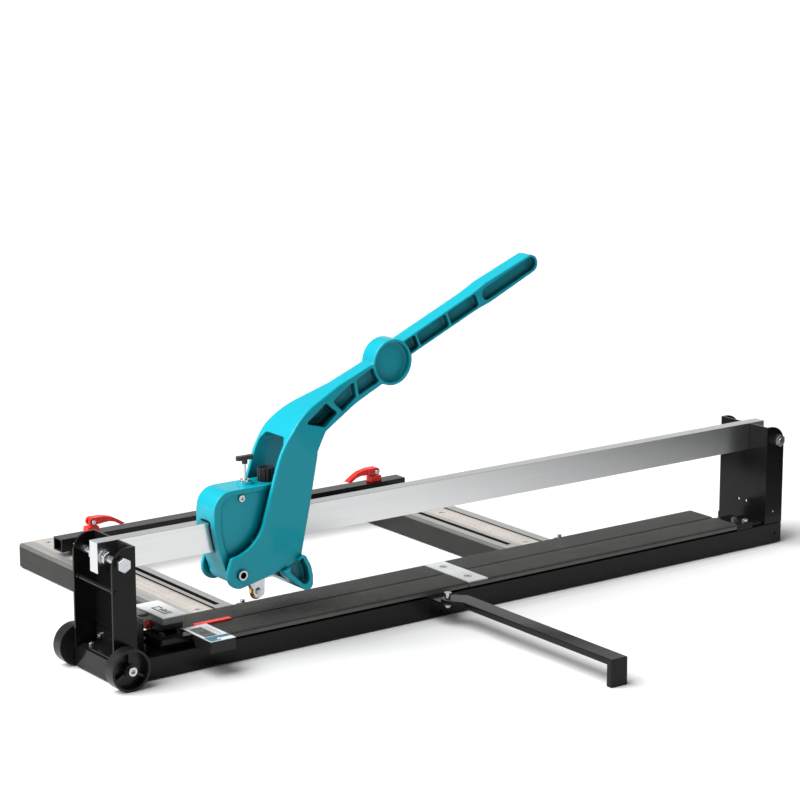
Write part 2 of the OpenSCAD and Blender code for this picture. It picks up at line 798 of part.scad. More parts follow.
// ---------- carriage ----------
module carriage_outline() {
    x = [-384, -268];
    r = 24;
    rect(x, [rail_z + 32, housing_top - r]);
    rect([x[0] + r, x[1] - 12], [rail_z + 32, housing_top]);
    translate([x[0] + r, housing_top - r]) circle(r);
    translate([x[1] - 12, housing_top - 12]) circle(12);
    rect([x[1] - 24, x[1]], [rail_z + 32, housing_top - 12]);
    rect([-331, x[1]], [rail_z + 4, rail_z + 40]);
    polygon([[x[0], rail_z + 33], [-378, rail_z + 3], [-367, pivot_z], [pivot_x + 13.5, pivot_z],
             [-330, rail_z - 15], [-330, rail_z + 33]]);
    translate([pivot_x, pivot_z]) circle(14);
}

module panel_outline() {
    r = 18;
    rect([-374 + r, -274], [rail_z + 8, housing_top - 6]);
    rect([-374, -274], [rail_z + 26, housing_top - 6 - r]);
    translate([-374 + r, housing_top - 6 - r]) circle(r);
    polygon([[-374, rail_z + 27], [-368, rail_z + 2], [-361, pivot_z + 12], [-329, pivot_z + 12],
             [-329, rail_z + 9], [-329, rail_z + 27]]);
}

module carriage_housing() {
    y = carriage_y;
    color([0.00, 0.55, 0.62]) difference() {
        union() {
            slab_y([-y, y]) carriage_outline();
            rod_z([lock_x, 0], 10, [housing_top - 1, housing_top + 3.5]);
        }
        both_sides() slab_y([y - 2, y + 1]) panel_outline();
        box([-390, -260], [-rail_t / 2 - 1.2, rail_t / 2 + 1.2], [rail_z - 0.4, rail_top + 1]);
        box([-379, -271], [-rail_t / 2 - 1.2, rail_t / 2 + 1.2], [rail_top, rail_top + 20]);
        slab_y([-8, 8]) polygon([[-373, rail_z], [-371, rail_z - 10], [-367, rail_z - 16.5],
                                 [-336, rail_z - 16.5], [-333, rail_z - 13], [-333, rail_z]]);
        for (x = upper_x) rod_y([x, upper_z], roller_pin_r, [-y + 3.5, y - 3.5]);
        for (x = lower_x) rod_y([x, lower_z], roller_pin_r, [-y + 3.5, y - 3.5]);
        rod_y([pivot_x, pivot_z], 5, [-y - 1, y + 1]);
        rod_z([lock_x, 0], 2.5 + run, [rail_top, housing_top + 5]);
        rod_z([knob_x, 0], 4 + run, [housing_top - 14, housing_top + 1]);
        for (x = carriage_screw_x) rod_y([x, housing_top - 11.5], 2.5, [-y - 1, -y + 10]);
    }
}

// roller pins and the side screws, all in one plane each
module carriage_bolts() {
    y = carriage_y;
    color([0.74, 0.75, 0.77]) {
        for (x = upper_x) rod_y([x, upper_z], roller_pin_r, [-y + 3.5, y - 3.5]);
        for (x = lower_x) rod_y([x, lower_z], roller_pin_r, [-y + 3.5, y - 3.5]);
        for (x = carriage_screw_x) {
            rod_y([x, housing_top - 11.5], 2.5, [-y + 1.9, -y + 10]);
            difference() {
                rod_y([x, housing_top - 11.5], 4.2, [-y - 0.6, -y + 2]);
                hex_y([x, housing_top - 11.5], 2.3, [-y - 1, -y + 1.4]);
            }
        }
        difference() {
            rod_z([lock_x, 0], 6.5, [housing_top + 3.5, housing_top + 6]);
            rod_z([lock_x, 0], 2.5 + run, [housing_top, housing_top + 7]);
        }
    }
}

module roller(p, r, w) {
    color([0.60, 0.61, 0.63]) difference() {
        rod_y(p, r, [-w / 2, w / 2]);
        rod_y(p, roller_pin_r + run, [-w, w]);
        both_sides() difference() {
            rod_y(p, r - 1.6, [w / 2 - 0.6, w / 2 + 1]);
            rod_y(p, roller_pin_r + 1.5, [w / 2 - 1, w / 2 + 2]);
        }
    }
}

module front_upper_roller() {
    roller([upper_x[0], upper_z], roller_top_r, 16);
}

module rear_upper_roller() {
    roller([upper_x[1], upper_z], roller_top_r, 16);
}

module front_lower_roller() {
    roller([lower_x[0], lower_z], roller_low_r, 13);
}

module rear_lower_roller() {
    roller([lower_x[1], lower_z], roller_low_r, 13);
}

module lock_screw() {
    t = housing_top + 3.5;
    color([0.07, 0.07, 0.07]) {
        rod_z([lock_x, 0], 2.5, [rail_top + 0.6, t + 4]);
        rod_z([lock_x, 0], 1.8, [t + 3, t + 26]);
        rod_z([lock_x, 0], 3.6, [t + 22, t + 29]);
        slab_z([t + 27, t + 32]) {
            rect([lock_x - 8, lock_x + 8], [-3.4, 3.4]);
            for (s = [-1, 1]) translate([lock_x + s * 8, 0]) circle(4.2);
        }
    }
}

module adjuster_knob() {
    z = [housing_top + 0.3, housing_top + 16.5];
    color([0.04, 0.04, 0.04]) {
        difference() {
            rod_z([knob_x, 0], 11, z);
            for (a = [0:30:330]) rod_z([knob_x + 12 * cos(a), 12 * sin(a)], 2, [z[0] - 1, z[1] + 1]);
            rod_z([knob_x, 0], 7.5, [z[1] - 1.5, z[1] + 1]);
        }
        rod_z([knob_x, 0], 4, [housing_top - 13, z[0] + 1]);
    }
}

// ---------- lever ----------
module arm_frame() {
    translate(arm_o) rotate(arm_a) children();
}

// fork, bent arm and grip seen from the front
module lever_outline() {
    translate([pivot_x - 1, pivot_z + 1]) circle(19);
    difference() {
        polygon([[-372, 110], [-366, 128], [-317.5, 170], [-299, 228], [-234.5, 298.6],
                 [-125, 342.5], [-124, 309], [-221.3, 262.5], [-237.8, 240.2], [-250, 178.3],
                 [-264.5, 111.5], [-284, 100.2], [-349.9, 85.5]]);
        translate([-370, 178.5]) circle(53);
    }
    intersection() {
        translate([-196.6, 199.6]) circle(106);
        polygon([[-299, 228], [-285, 280.3], [-234.5, 298.6]]);
    }
    difference() {
        polygon([[-237.8, 240.2], [-234.9, 254.9], [-221.3, 262.5]]);
        translate([-208.4, 234.4]) circle(30);
    }
    translate(disc) circle(disc_r - 1);
    arm_frame() {
        rect([-125, 30], [-12.6, 11]);
        polygon([[20, -12.6], [45, -14.5], [grip_l, grip_mid - 12], [grip_l, grip_mid + 12],
                 [45, 13], [20, 11]]);
        translate([grip_l, grip_mid]) circle(12);
    }
}

module lever_pockets() {
    difference() {
        union() {
            polygon([[-252, 276.5], [-216.5, 296.5], [-199, 281.8], [-221, 267.5]]);
            polygon([[-204.5, 296.5], [-170, 316.5], [-166.5, 296.5], [-189.5, 282]]);
            polygon([[-165.5, 318.5], [-140, 331], [-130, 312.5], [-162, 298.5]]);
            arm_frame() {
                round_rect([-98, -79], [-9.6, 8], 1.5);
                round_rect([-75.5, -26], [-9.6, 8], 2.5);
                round_rect([-22.5, 26], [-9.6, 8], 2.5);
                rect([44, grip_l], [grip_mid - 8.5, grip_mid + 8.5]);
                for (i = [44, grip_l]) translate([i, grip_mid]) circle(8.5);
            }
        }
        translate(disc) circle(disc_r);
    }
}

// the casting narrows from the fork to the arm around the bend
module plan_taper() {
    y = cheek_y;
    a = arm_t / 2;
    rotate([0, -45, 0]) translate([0, 0, -600]) linear_extrude(1400)
        polygon([[-300, -y], [-4, -y], [87, -a], [500, -a], [500, a], [87, a], [-4, y], [-300, y]]);
}

module lever_casting() {
    y = cheek_y;
    a = arm_t / 2;
    bridge_x = [pivot_x + 31, pivot_x + 56];
    bridge_y = [-fork_gap - 1, fork_gap + 1];
    bridge_z = [pivot_z - 5.5, pivot_z + 4];
    window = fork_gap - 7;
    color([0.00, 0.62, 0.70]) difference() {
        union() {
            intersection() {
                slab_y([-y, y]) lever_outline();
                plan_taper();
            }
            rod_y(disc, disc_r, [-a - 2, a + 2]);
            box(bridge_x, bridge_y, bridge_z);
        }
        // room between the cheeks and the window above it
        difference() {
            slab_x([-420, -215]) polygon([[-fork_gap, 60], [fork_gap, 60], [fork_gap, 254],
                                          [window, 262.5], [-window, 262.5], [-fork_gap, 254]]);
            box(bridge_x, bridge_y, bridge_z);
        }
        both_sides() {
            slab_y([2.5, y + 1]) lever_pockets();
            rod_y(disc, disc_r - 3.8, [5, y]);
        }
        rod_y([pivot_x, pivot_z], 5 + run, [-y - 1, y + 1]);
    }
}

// bolt fixed in the carriage, the fork turns on its ends
module pivot_bolt() {
    y = cheek_y + 0.3;
    color([0.78, 0.79, 0.81]) difference() {
        union() {
            rod_y([pivot_x, pivot_z], 5, [-y - 1, y + 1]);
            both_sides() rod_y([pivot_x, pivot_z], 6.2, [y, y + 4]);
        }
        both_sides() hex_y([pivot_x, pivot_z], 4, [y - 3, y + 5]);
    }
}

module wheel_holder() {
    x = [pivot_x + 31, pivot_x + 54];
    z = [cutter[1] + 16, pivot_z - 5.5];
    color([0.70, 0.71, 0.73]) difference() {
        union() {
            box(x, [-7, 7], z);
            box([x[1] - 1, pivot_x + 76], [-6, 6], [z[0], z[0] + 7]);
            both_sides() slab_y([2.6, 5.4]) {
                polygon([[x[0], z[0] + 1], [x[0], z[0] - 6], [cutter[0] - 8, cutter[1] + 2],
                         [cutter[0] + 8, cutter[1] + 2], [x[1] - 3, z[0] - 4], [x[1] - 3, z[0] + 1]]);
                translate(cutter) circle(8.3);
            }
        }
        rod_y(cutter, 2.5, [-10, 10]);
    }
}

module cutter_axle() {
    color([0.30, 0.30, 0.31]) {
        rod_y(cutter, 2.5, [-9.5, 9.5]);
        rod_y(cutter, 4.6, [5.4, 8]);
        hex_y(cutter, 4.8, [-8.8, -5.4]);
    }
}

module cutting_wheel() {
    color([0.85, 0.60, 0.20]) translate([cutter[0], 0, cutter[1]]) rotate([90, 0, 0]) rotate_extrude()
        polygon([[2.5 + run, -2.2], [5, -2.2], [5.5, -1.4], [cutter_r - 2, -1.4], [cutter_r, 0],
                 [cutter_r - 2, 1.4], [5.5, 1.4], [5, 2.2], [2.5 + run, 2.2]]);
}

module foot_outline() {
    polygon([[-294, 98], [-290, 90], [-267, 71], [-253, 78], [-252.5, 87], [-255.5, 100],
             [-263, 114], [-267, 114], [-281, 104]]);
    translate([-261, 77.5]) circle(8.4);
}

module foot_hollow() {
    polygon([[-286, 101], [-285.5, 95.5], [-267, 78.5], [-260.5, 77], [-257.8, 81],
             [-258.2, 88], [-260.8, 98.5], [-268, 112]]);
}

// foot whose two wings press on either side of the score, with a pocket in each end
module breaker_foot() {
    color([0.00, 0.50, 0.57]) difference() {
        slab_y([-foot_y, foot_y]) foot_outline();
        both_sides() slab_y([fork_gap + 1, foot_y + 1]) foot_hollow();
        slab_y([-cheek_y, cheek_y]) lever_outline();
        box([-300, -240], [-fork_gap + 3, fork_gap - 3], [82.5, 120]);
    }
}

left_base_beam();
right_base_beam();
base_joiner();
rubber_feet();
left_post();
right_post();
post_brackets();
rail();
rail_bolts();
rail_nuts();
spacer_rods();
small_screws();
bed_pads();
breaking_ridge();
centre_plate();
start_strip();
left_cross_beam();
middle_cross_beam();
edge_strips();
rulers();
cross_beam_bolts();
scale_clamp();
laser_housing();
laser_lid();
laser_button();
laser_bracket();
end_block();
end_block_bolts();
display_housing();
display_face();
display_window();
display_button();
axle_brackets();
wheel_axles();
front_wheel();
rear_wheel();
outrigger_plate();
outrigger_bolt();
outrigger_arm();
fence_bar();
fence_shoes();
clamp_studs();
cam_saddles();
left_cam_lever();
right_cam_lever();
cam_pins();
carriage_housing();
carriage_bolts();
front_upper_roller();
rear_upper_roller();
front_lower_roller();
rear_lower_roller();
lock_screw();
adjuster_knob();
lever_casting();
pivot_bolt();
wheel_holder();
cutter_axle();
cutting_wheel();
breaker_foot();
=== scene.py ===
"""Looks of the tile cutter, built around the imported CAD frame. Metres, +Z up."""
import json
import math
import bpy
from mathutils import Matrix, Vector


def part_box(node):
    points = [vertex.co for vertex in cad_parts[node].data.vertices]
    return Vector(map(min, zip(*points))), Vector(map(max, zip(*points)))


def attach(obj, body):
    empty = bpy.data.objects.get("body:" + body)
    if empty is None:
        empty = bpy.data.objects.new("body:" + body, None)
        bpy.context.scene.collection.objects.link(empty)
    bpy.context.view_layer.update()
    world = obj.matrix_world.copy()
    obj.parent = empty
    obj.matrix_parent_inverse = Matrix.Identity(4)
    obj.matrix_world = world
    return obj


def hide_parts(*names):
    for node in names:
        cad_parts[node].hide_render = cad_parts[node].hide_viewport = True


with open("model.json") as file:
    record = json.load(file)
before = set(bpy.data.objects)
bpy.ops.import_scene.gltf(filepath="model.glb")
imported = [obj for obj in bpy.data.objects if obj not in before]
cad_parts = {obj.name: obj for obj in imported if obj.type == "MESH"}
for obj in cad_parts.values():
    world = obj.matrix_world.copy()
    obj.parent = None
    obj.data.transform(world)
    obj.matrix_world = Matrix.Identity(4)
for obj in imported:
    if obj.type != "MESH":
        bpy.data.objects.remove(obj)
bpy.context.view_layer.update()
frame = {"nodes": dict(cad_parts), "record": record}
NODES = frame["nodes"]
MM = 0.001


# ---------- camera, light and set ----------
# Places are in metres and angles in degrees. The camera was solved from the straight
# edges of the rail, the base and the posts.
CAMERA_PLACE = (-2.0423, -2.6704, 1.0244)
CAMERA_TURN = (90 - 12.67, 0.03, -36.17)
CAMERA_LENS = 120.1
CAMERA_SENSOR = 36.0
CAMERA_REACH = 50

WORLD_STRENGTH = 0.30
SUN_PLACE = (-1.6, 0.5, 2.6)
SUN_POWER = 6.6
SUN_SPREAD = 55
# Place, target, width and height, and power of each lit panel.
PANELS = {
    "key_left": ((-2.6, 0.9, 0.9), (-0.2, 0, 0.1), (2.0, 1.4), 30),
    "back_panel": ((3.4, 4.2, 1.5), (0, 0, 0.1), (5.5, 1.8), 16),
}

FLOOR_SIZE = 30
FLOOR_TONE = (0.56, 0.56, 0.56)
CARD_PLACE = (1.30, -1.15, 0.002)
CARD_SIZE = (2.2, 2.0, 1)
CARD_TONE = (0.004, 0.004, 0.004)
# The card fades between these shares of its width, counted from its middle.
CARD_FADE = (-0.5, -0.14)


def add_object(name, data):
    obj = bpy.data.objects.new(name, data)
    bpy.context.collection.objects.link(obj)
    return obj


def make_camera():
    data = bpy.data.cameras.new("camera")
    data.lens = CAMERA_LENS
    data.sensor_width = CAMERA_SENSOR
    data.clip_end = CAMERA_REACH
    camera = add_object("camera", data)
    camera.location = CAMERA_PLACE
    camera.rotation_euler = [math.radians(a) for a in CAMERA_TURN]
    bpy.context.scene.camera = camera


def add_light(name, data, place, target):
    light = add_object(name, data)
    light.location = place
    direction = Vector(target) - light.location
    light.rotation_euler = direction.to_track_quat("-Z", "Y").to_euler()


def make_light():
    world = bpy.data.worlds.new("studio")
    world.use_nodes = True
    background = world.node_tree.nodes["Background"]
    background.inputs["Color"].default_value = (1.0, 1.0, 1.0, 1)
    background.inputs["Strength"].default_value = WORLD_STRENGTH
    bpy.context.scene.world = world
    bpy.context.scene.view_settings.view_transform = "Standard"
    sun = bpy.data.lights.new("sky_box", "SUN")
    sun.energy = SUN_POWER
    sun.angle = math.radians(SUN_SPREAD)
    add_light("sky_box", sun, SUN_PLACE, (0, 0, 0))
    for name, (place, target, size, power) in PANELS.items():
        panel = bpy.data.lights.new(name, "AREA")
        panel.shape = "RECTANGLE"
        panel.size, panel.size_y = size
        panel.energy = power
        add_light(name, panel, place, target)


def make_floor():
    bpy.ops.mesh.primitive_plane_add(size=FLOOR_SIZE, location=(0, 0, 0))
    floor = bpy.context.object
    floor.name = "floor"
    floor.data.materials.append(floor_material())


def make_dark_card():
    """Lies beside the object, seen only by reflection, and darkens the right end of the rail."""
    bpy.ops.mesh.primitive_plane_add(size=1, location=CARD_PLACE)
    card = bpy.context.object
    card.name = "dark_card"
    card.scale = CARD_SIZE
    card.data.materials.append(card_material())
    card.visible_camera = False
    card.visible_shadow = False
    card.visible_diffuse = False


# ---------- material helpers ----------
EVEN = (1, 1, 1)
NOISE_ROUGHNESS = 0.55
# Nearly every value of a noise lies in this band.
NOISE_BAND = (0.3, 0.7)


class Shader:
    """A Principled material with a few shorthand node makers."""

    def __init__(self, name, **sockets):
        self.material = bpy.data.materials.new(name)
        self.material.use_nodes = True
        self.tree = self.material.node_tree
        self.bsdf = self.tree.nodes["Principled BSDF"]
        self.point = self.node("ShaderNodeTexCoord").outputs["Object"]
        for key, value in sockets.items():
            self.bsdf.inputs[key.replace("_", " ")].default_value = value

    def node(self, kind, **values):
        node = self.tree.nodes.new(kind)
        for key, value in values.items():
            setattr(node, key, value)
        return node

    def link(self, source, target):
        self.tree.links.new(source, target)

    def feed(self, socket, value):
        """Give a socket a node's output or a plain value."""
        if isinstance(value, bpy.types.NodeSocket):
            self.link(value, socket)
        else:
            socket.default_value = value

    def noise(self, scale, stretch=EVEN, detail=4.0):
        mapping = self.node("ShaderNodeMapping")
        mapping.inputs["Scale"].default_value = stretch
        self.link(self.point, mapping.inputs["Vector"])
        node = self.node("ShaderNodeTexNoise")
        node.inputs["Scale"].default_value = scale
        node.inputs["Detail"].default_value = detail
        node.inputs["Roughness"].default_value = NOISE_ROUGHNESS
        self.link(mapping.outputs["Vector"], node.inputs["Vector"])
        return node.outputs["Fac"]

    def remap(self, value, source, result=(0.0, 1.0)):
        node = self.node("ShaderNodeMapRange")
        self.link(value, node.inputs["Value"])
        keys = ("From Min", "From Max", "To Min", "To Max")
        for key, number in zip(keys, (*source, *result)):
            node.inputs[key].default_value = number
        return node.outputs["Result"]

    def drift(self, scale, low=0.0, high=1.0, stretch=EVEN):
        """A value that wanders from low to high over the surface."""
        return self.remap(self.noise(scale, stretch), NOISE_BAND, (low, high))

    def mix(self, factor, a, b):
        """Blend of two colours, each a tuple or a node's output."""
        node = self.node("ShaderNodeMix", data_type="RGBA")
        self.link(factor, node.inputs["Factor"])
        for key, color in (("A", a), ("B", b)):
            self.feed(node.inputs[key], (*color, 1) if isinstance(color, tuple) else color)
        return node.outputs["Result"]

    def math(self, operation, a, b):
        node = self.node("ShaderNodeMath", operation=operation)
        for socket, value in zip(node.inputs, (a, b)):
            self.feed(socket, value)
        return node.outputs["Value"]

    def axes(self):
        node = self.node("ShaderNodeSeparateXYZ")
        self.link(self.point, node.inputs["Vector"])
        return node.outputs

    def color(self, value):
        self.link(value, self.bsdf.inputs["Base Color"])

    def roughness(self, value):
        self.link(value, self.bsdf.inputs["Roughness"])

    def bump(self, height, distance_mm):
        node = self.node("ShaderNodeBump")
        node.inputs["Distance"].default_value = distance_mm * MM
        self.link(height, node.inputs["Height"])
        self.link(node.outputs["Normal"], self.bsdf.inputs["Normal"])


def shade(color, factor):
    return tuple(c * factor for c in color)


def worn_color(shader, base, shift, scale, stretch=EVEN):
    """Base colour that drifts a little over the surface."""
    drift = shader.drift(scale, stretch=stretch)
    shader.color(shader.mix(drift, shade(base, 1 - shift), shade(base, 1 + shift)))


def plated_grain(shader, rough):
    shader.roughness(shader.drift(240, rough - 0.05, rough + 0.06))
    shader.bump(shader.noise(900, detail=2), distance_mm=0.01)


def below_top(node, drop_mm):
    """Height in metres of a level some way below the top of a CAD node."""
    return round(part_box(node)[1][2] - drop_mm * MM, 6)


# ---------- materials ----------
# Painted shade: the teal paint's colour is darkened by an ambient occlusion node where walls within
# this reach, in metres, close a place in. The band is the openness over which the painted shade comes
# in, and the shade is what is left of the colour at its end.
RECESS_REACH = 0.032
RECESS_BAND = (0.25, 0.85)
PAINTED_RECESS_SHADE = 0.10


def enamel_with_painted_shade(name, base):
    """Glossy paint with painted shade inside pockets, darkened there by ambient occlusion."""
    shader = Shader(name, Metallic=0.0, IOR=1.45, Specular_IOR_Level=0.16,
                    Coat_Weight=0.22, Coat_Roughness=0.06)
    open_face = shader.mix(shader.drift(9), shade(base, 0.96), base)
    # Painted shade: ambient occlusion darkens the base colour inside pockets and hollows.
    painted_shade_ao = shader.node("ShaderNodeAmbientOcclusion", samples=6)
    painted_shade_ao.inputs["Distance"].default_value = RECESS_REACH
    openness = shader.remap(painted_shade_ao.outputs["AO"], RECESS_BAND)
    shader.color(shader.mix(openness, shade(base, PAINTED_RECESS_SHADE), open_face))
    shader.roughness(shader.drift(60, 0.30, 0.40))
    shader.bump(shader.noise(330, detail=2), distance_mm=0.04)
    return shader.material


def powder_coat(name, base, rough):
    shader = Shader(name, Metallic=0.0, IOR=1.45, Specular_IOR_Level=0.20)
    worn_color(shader, base, shift=0.10, scale=14)
    shader.roughness(shader.drift(35, rough - 0.03, rough + 0.04))
    shader.bump(shader.noise(2600, detail=1), distance_mm=0.006)
    return shader.material


def brushed(name, base, rough, stretch, scale):
    shader = Shader(name, Metallic=1.0)
    worn_color(shader, base, 0.03, scale, stretch)
    shader.roughness(shader.drift(7, rough - 0.03, rough + 0.03, stretch=(1, 1, 3)))
    shader.bump(shader.noise(scale * 2, stretch), distance_mm=0.0004)
    return shader.material


def extrusion(name, face_z):
    """Near black profile whose faces above face_z are coloured a brushed grey."""
    shader = Shader(name, Metallic=0.6, IOR=1.45)
    lines = shader.noise(420, stretch=(1, 0.02, 1))
    grey = shader.mix(shader.remap(lines, NOISE_BAND), (0.30, 0.30, 0.29), (0.40, 0.40, 0.385))
    black = shader.mix(shader.drift(20), (0.016, 0.016, 0.015), (0.026, 0.026, 0.024))
    is_top = shader.math("GREATER_THAN", shader.axes()["Z"], face_z)
    shader.color(shader.mix(is_top, black, grey))
    shader.roughness(shader.remap(lines, NOISE_BAND, (0.34, 0.46)))
    shader.bump(lines, distance_mm=0.008)
    return shader.material


def split_by_height(name, z, low, high, low_metal):
    """One finish below a height and another above it."""
    shader = Shader(name, IOR=1.45)
    upper = shader.math("GREATER_THAN", shader.axes()["Z"], z)
    drift = shader.drift(160)
    shade_low = shader.mix(drift, shade(low, 0.93), low)
    shade_high = shader.mix(drift, shade(high, 0.88), high)
    shader.color(shader.mix(upper, shade_low, shade_high))
    shader.link(shader.remap(upper, (0, 1), (low_metal, 0.0)), shader.bsdf.inputs["Metallic"])
    shader.roughness(shader.drift(90, 0.32, 0.42))
    shader.bump(shader.noise(800, detail=2), distance_mm=0.01)
    return shader.material


def plated(name, base, rough):
    shader = Shader(name, Metallic=1.0)
    worn_color(shader, base, shift=0.08, scale=180)
    plated_grain(shader, rough)
    return shader.material


def socket_screw(name, base, rough, socket, bolt, radius_mm):
    """Plated ring with painted shade in its middle: inside radius_mm of the axis the colour is near
    black, the shade of the deep hex socket, for a bolt that lies along Y.
    """
    shader = Shader(name, Metallic=1.0)
    low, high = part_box(bolt)
    axes = shader.axes()
    dx = shader.math("SUBTRACT", axes["X"], (low[0] + high[0]) / 2)
    dz = shader.math("SUBTRACT", axes["Z"], (low[2] + high[2]) / 2)
    square = shader.math("ADD", shader.math("MULTIPLY", dx, dx), shader.math("MULTIPLY", dz, dz))
    # Painted shade: the ring mask leaves the hex socket's middle near black.
    ring = shader.math("GREATER_THAN", square, (radius_mm * MM) ** 2)
    plating = shader.mix(shader.drift(180), shade(base, 0.9), base)
    shader.color(shader.mix(ring, socket, plating))
    plated_grain(shader, rough)
    return shader.material


def moulded(name, base, rough):
    shader = Shader(name, Metallic=0.0, IOR=1.45, Specular_IOR_Level=0.3)
    worn_color(shader, base, shift=0.08, scale=30)
    shader.roughness(shader.drift(120, rough - 0.05, rough + 0.05))
    shader.bump(shader.noise(900, detail=3), distance_mm=0.02)
    return shader.material


def rubber(name, base):
    shader = Shader(name, Metallic=0.0, IOR=1.4)
    worn_color(shader, base, shift=0.15, scale=18)
    shader.roughness(shader.drift(50, 0.38, 0.5))
    shader.bump(shader.noise(1500, detail=3), distance_mm=0.02)
    return shader.material


def printed(name, base):
    """Ink, a little uneven where it covers the sheet."""
    shader = Shader(name, Metallic=0.0, IOR=1.45, Roughness=0.5)
    worn_color(shader, base, shift=0.2, scale=900)
    return shader.material


def card_material():
    """Fades from the floor's tone at its left edge to black."""
    shader = Shader("card", Roughness=0.9, Specular_IOR_Level=0.0)
    fade = shader.remap(shader.axes()["X"], CARD_FADE)
    shader.color(shader.mix(fade, FLOOR_TONE, CARD_TONE))
    return shader.material


def floor_material():
    shader = Shader("floor", Roughness=0.85, Specular_IOR_Level=0.1)
    worn_color(shader, FLOOR_TONE, shift=0.01, scale=3)
    return shader.material


ZINC = (0.50, 0.52, 0.54)
ZINC_ROUGHNESS = 0.22
# Maker, colour and, where the maker takes one, roughness.
FINISHES = {
    "teal_paint": (enamel_with_painted_shade, (0.0, 0.28, 0.355)),
    "black_paint": (powder_coat, (0.005, 0.005, 0.005), 0.15),
    "black_plastic": (moulded, (0.012, 0.012, 0.012), 0.40),
    "black_rubber": (rubber, (0.085, 0.085, 0.078)),
    # Near black for the floors of the pads' grooves: painted shade, darker than the rubber itself.
    "groove_rubber": (rubber, (0.001, 0.001, 0.001)),
    "wheel_black": (moulded, (0.007, 0.007, 0.007), 0.30),
    "dark_steel": (plated, (0.10, 0.10, 0.10), 0.40),
    "zinc": (plated, ZINC, ZINC_ROUGHNESS),
    "light_metal": (moulded, (0.42, 0.43, 0.435), 0.32),
    "ruler_white": (moulded, (0.34, 0.32, 0.295), 0.42),
    "white_plastic": (moulded, (0.60, 0.605, 0.61), 0.35),
    "red_plastic": (moulded, (0.68, 0.022, 0.014), 0.26),
    "lcd": (moulded, (0.035, 0.042, 0.040), 0.12),
    "coated_carbide": (plated, (0.85, 0.52, 0.10), 0.22),
    "ink_black": (printed, (0.012, 0.012, 0.013)),
    "ink_red": (printed, (0.19, 0.12, 0.09)),
    "ink_blue": (printed, (0.05, 0.14, 0.20)),
}
MATERIALS = {name: maker(name, *values) for name, (maker, *values) in FINISHES.items()}
MATERIALS.update({
    "rail_steel": brushed("rail_steel", (0.66, 0.67, 0.675), 0.25,
                          stretch=(0.01, 1, 1), scale=240),
    "aluminium": extrusion("aluminium", face_z=below_top("left_cross_beam", 0.3)),
    # The laser housing is coloured grey in its top 8 mm and near black below it.
    "grey_plastic": split_by_height("grey_plastic", z=below_top("laser_housing", 8), low_metal=0.0,
                                    low=(0.02, 0.02, 0.02), high=(0.13, 0.13, 0.125)),
    "lock_screw": split_by_height("lock_screw", z=below_top("lock_screw", 10), low_metal=1.0,
                                  low=(0.70, 0.71, 0.72), high=(0.012, 0.012, 0.012)),
    # The pivot bolt's near black middle is painted shade of its hex socket.
    "pivot_bolt": socket_screw("pivot_bolt", ZINC, ZINC_ROUGHNESS, socket=(0.012, 0.012, 0.013),
                               bolt="pivot_bolt", radius_mm=4.2),
})
# Nodes whose look differs from their slot's.
OWN_FINISH = {"lock_screw", "pivot_bolt"}


# ---------- CAD nodes ----------
# Voxel size of the skin laid over each casting, in millimetres.
CAST = {"lever_casting": 1.2, "carriage_housing": 1.0, "breaker_foot": 0.9}
ROUNDING_STRENGTH = 0.5
ROUNDING_PASSES = 9
# Width of the bevel on each other node's edges, in millimetres.
EDGES = {
    "left_base_beam": 1.0, "right_base_beam": 1.0, "left_post": 0.6, "right_post": 0.6,
    "post_brackets": 0.4, "rail": 0.5, "rail_bolts": 0.5, "rail_nuts": 0.5, "centre_plate": 0.25,
    "scale_clamp": 0.8, "laser_housing": 0.6, "laser_lid": 0.35, "laser_bracket": 0.4,
    "end_block": 0.8, "end_block_bolts": 0.4, "display_housing": 0.9, "display_face": 0.25,
    "axle_brackets": 0.4, "wheel_axles": 0.5, "front_wheel": 0.8, "rear_wheel": 0.8,
    "outrigger_plate": 0.5, "outrigger_bolt": 0.4, "outrigger_arm": 0.9, "fence_bar": 0.7,
    "fence_shoes": 0.6, "cam_saddles": 0.5, "left_cam_lever": 0.7, "right_cam_lever": 0.7,
    "cam_pins": 0.25, "carriage_bolts": 0.3, "lock_screw": 0.6, "adjuster_knob": 0.4,
    "pivot_bolt": 0.4, "wheel_holder": 0.4, "cutter_axle": 0.3, "cross_beam_bolts": 0.4,
    "left_cross_beam": 0.3, "middle_cross_beam": 0.3, "start_strip": 0.6, "small_screws": 0.25,
}
WELD_DISTANCE = 1e-6
FLAT_ANGLE = 0.5
SHARP_ANGLE = 40


def soften_cast(obj, voxel_mm):
    """Cast and painted: every edge comes out round."""
    remesh = obj.modifiers.new("cast_skin", "REMESH")
    remesh.mode = "VOXEL"
    remesh.voxel_size = voxel_mm * MM
    remesh.use_smooth_shade = True
    smooth = obj.modifiers.new("round_edges", "SMOOTH")
    smooth.factor = ROUNDING_STRENGTH
    smooth.iterations = ROUNDING_PASSES


def bevel_edges(obj, width_mm):
    """Joins the triangles of each flat face, then rounds the sharp edges between the faces."""
    weld = obj.modifiers.new("weld", "WELD")
    weld.merge_threshold = WELD_DISTANCE
    flat = obj.modifiers.new("flat", "DECIMATE")
    flat.decimate_type = "DISSOLVE"
    flat.angle_limit = math.radians(FLAT_ANGLE)
    bevel = obj.modifiers.new("edges", "BEVEL")
    bevel.width = width_mm * MM
    bevel.segments = 2
    bevel.limit_method = "ANGLE"
    bevel.angle_limit = math.radians(SHARP_ANGLE)
    obj.modifiers.new("normals", "WEIGHTED_NORMAL")


